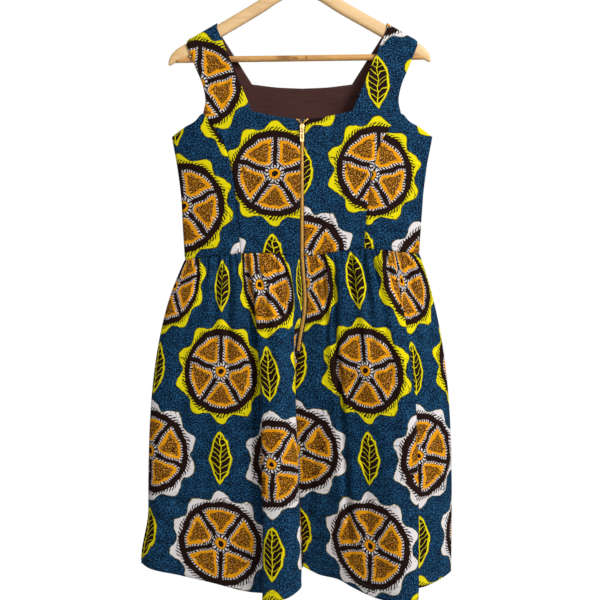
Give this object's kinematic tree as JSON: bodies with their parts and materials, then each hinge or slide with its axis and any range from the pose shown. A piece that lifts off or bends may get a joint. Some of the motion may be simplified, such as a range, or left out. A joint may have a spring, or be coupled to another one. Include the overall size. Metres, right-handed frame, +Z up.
{
  "type": "ankara wax print dress on wooden hanger",
  "caption": "Sleeveless square-neck dress in wax print cotton with a gathered knee-length skirt and exposed metal front zip, hung on a wooden hanger with a trouser bar.",
  "frame": {"origin": "inside top of the hanger's hook, where the rail carries it", "axes": "+Z up; -Y is the front of the dress, with the zip; +X to the right of someone who looks at the front"},
  "size_m": [0.54, 0.1932, 1.1439],
  "materials": {
    "wax_print": "crisp waxed cotton with a printed pattern of yellow, orange and brown motifs on mottled blue",
    "lining": "plain matte brown cotton",
    "zip_tape": "woven navy tape",
    "zip_metal": "polished gold-coloured brass",
    "hanger_wood": "clear satin varnish on pale wood",
    "hook_metal": "polished steel wire"
  },
  "bodies": {
    "dress_and_hanger": {"bodice_back": "wax_print", "bodice_front_centre_left": "wax_print", "bodice_front_centre_right": "wax_print", "bodice_front_side_left": "wax_print", "bodice_front_side_right": "wax_print", "hanger_arms": "hanger_wood", "hanger_bar": "hanger_wood", "hanger_hook": "hook_metal", "lining_back": "lining", "skirt_back": "wax_print", "skirt_front_left": "wax_print", "skirt_front_right": "wax_print", "zip_chain": "zip_metal", "zip_slider": "zip_metal", "zip_tape_left": "zip_tape", "zip_tape_right": "zip_tape"},
    "zip_tab": {"zip_pull": "zip_metal"}
  },
  "joints": [
    {"name": "zip_tab_swing", "type": "hinge", "parent": "dress_and_hanger", "child": "zip_tab", "pos_m": [0, -0.02847, -0.333], "axis": [-1, 0, 0], "range_deg": [0, 160]}
  ]
}
